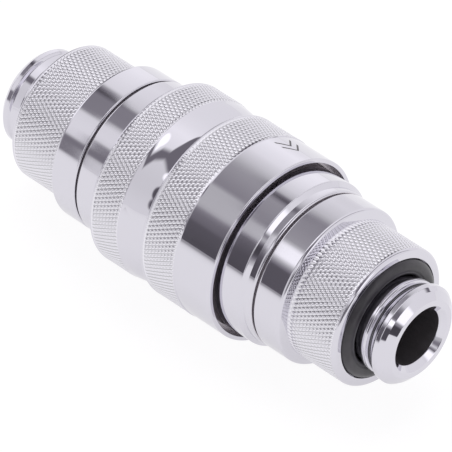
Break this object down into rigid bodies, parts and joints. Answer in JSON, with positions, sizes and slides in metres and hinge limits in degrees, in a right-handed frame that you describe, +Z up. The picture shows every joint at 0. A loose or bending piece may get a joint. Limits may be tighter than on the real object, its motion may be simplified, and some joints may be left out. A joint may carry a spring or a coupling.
{
  "type": "quick disconnect coupler",
  "caption": "Inline quick disconnect coupler with knurled grips, a push-back release sleeve, dry-break valves and a male G1/4 port with a face seal at each end.",
  "frame": {"origin": "on the centre line, in the bore of the socket's port, just behind the ridge of its nipple", "axes": "+X along the centre line, out of the socket's port; +Z up; the plug half is towards -X"},
  "size_m": [0.065, 0.0246, 0.0246],
  "materials": {
    "chrome_plate": "polished chrome plate on brass, with knurled grips",
    "nickel_plate": "nickel-plated, turned",
    "bare_brass": "turned",
    "seal_rubber": "smooth black ring seal",
    "spring_steel": "drawn and stamped spring steel",
    "ball_steel": "ground and polished ball"
  },
  "bodies": {
    "socket": {"socket_end_fitting": "chrome_plate", "socket_port_oring": "seal_rubber", "socket_joint_seal": "seal_rubber", "socket_body": "chrome_plate", "plug_nose_seal": "seal_rubber", "sleeve_snap_ring": "spring_steel", "valve_stem": "nickel_plate", "stem_seal": "seal_rubber", "stem_spider": "bare_brass", "stem_retaining_ring": "spring_steel"},
    "sleeve_carrier": {"sleeve_washer": "spring_steel", "sleeve_spring": "spring_steel"},
    "sleeve": {"release_sleeve": "chrome_plate"},
    "valve_carrier": {"valve_spring": "spring_steel", "valve_spring_seat": "spring_steel"},
    "valve": {"valve_sleeve": "nickel_plate", "valve_sleeve_oring": "seal_rubber"},
    "plug": {"plug_body": "chrome_plate", "plug_end_fitting": "chrome_plate", "plug_port_oring": "seal_rubber", "plug_joint_seal": "seal_rubber", "poppet_guide": "bare_brass", "poppet_spring": "spring_steel"},
    "poppet": {"poppet": "nickel_plate", "poppet_seal": "seal_rubber"},
    "ball_1": {"lock_ball_1": "ball_steel"},
    "ball_2": {"lock_ball_2": "ball_steel"},
    "ball_3": {"lock_ball_3": "ball_steel"},
    "ball_4": {"lock_ball_4": "ball_steel"},
    "ball_5": {"lock_ball_5": "ball_steel"},
    "ball_6": {"lock_ball_6": "ball_steel"}
  },
  "joints": [
    {"name": "sleeve_turn", "type": "hinge", "parent": "socket", "child": "sleeve_carrier", "pos_m": [-0.024, 0, 0], "axis": [1, 0, 0], "continuous": true},
    {"name": "sleeve_push", "type": "slide", "parent": "sleeve_carrier", "child": "sleeve", "axis": [1, 0, 0], "range_m": [0, 0.0024], "stiffness_N_per_m": 400, "springref_m": -0.006, "deforming": ["sleeve_spring", "lock_ball_1", "lock_ball_2", "lock_ball_3", "lock_ball_4", "lock_ball_5", "lock_ball_6"]},
    {"name": "plug_swivel", "type": "hinge", "parent": "socket", "child": "valve_carrier", "pos_m": [-0.024, 0, 0], "axis": [1, 0, 0], "continuous": true},
    {"name": "socket_valve", "type": "slide", "parent": "valve_carrier", "child": "valve", "axis": [-1, 0, 0], "range_m": [0, 0.004], "deforming": ["valve_spring", "poppet_spring"]},
    {"name": "plug_pull", "type": "slide", "parent": "valve", "child": "plug", "axis": [-1, 0, 0], "range_m": [0, 0.02]},
    {"name": "poppet_travel", "type": "slide", "parent": "plug", "child": "poppet", "axis": [1, 0, 0], "range_m": [0, 0.004]},
    {"name": "ball_1_rise", "type": "slide", "parent": "socket", "child": "ball_1", "axis": [0, 0, 1], "range_m": [0, 0.0005]},
    {"name": "ball_2_rise", "type": "slide", "parent": "socket", "child": "ball_2", "axis": [0, -0.866, 0.5], "range_m": [0, 0.0005]},
    {"name": "ball_3_rise", "type": "slide", "parent": "socket", "child": "ball_3", "axis": [0, -0.866, -0.5], "range_m": [0, 0.0005]},
    {"name": "ball_4_rise", "type": "slide", "parent": "socket", "child": "ball_4", "axis": [0, 0, -1], "range_m": [0, 0.0005]},
    {"name": "ball_5_rise", "type": "slide", "parent": "socket", "child": "ball_5", "axis": [0, 0.866, -0.5], "range_m": [0, 0.0005]},
    {"name": "ball_6_rise", "type": "slide", "parent": "socket", "child": "ball_6", "axis": [0, 0.866, 0.5], "range_m": [0, 0.0005]}
  ],
  "couplings": [
    {"joint": "ball_1_rise", "follows": "sleeve_push", "ratio": 0.2},
    {"joint": "ball_2_rise", "follows": "sleeve_push", "ratio": 0.2},
    {"joint": "ball_3_rise", "follows": "sleeve_push", "ratio": 0.2},
    {"joint": "ball_4_rise", "follows": "sleeve_push", "ratio": 0.2},
    {"joint": "ball_5_rise", "follows": "sleeve_push", "ratio": 0.2},
    {"joint": "ball_6_rise", "follows": "sleeve_push", "ratio": 0.2},
    {"joint": "poppet_travel", "follows": "socket_valve", "ratio": 1}
  ]
}
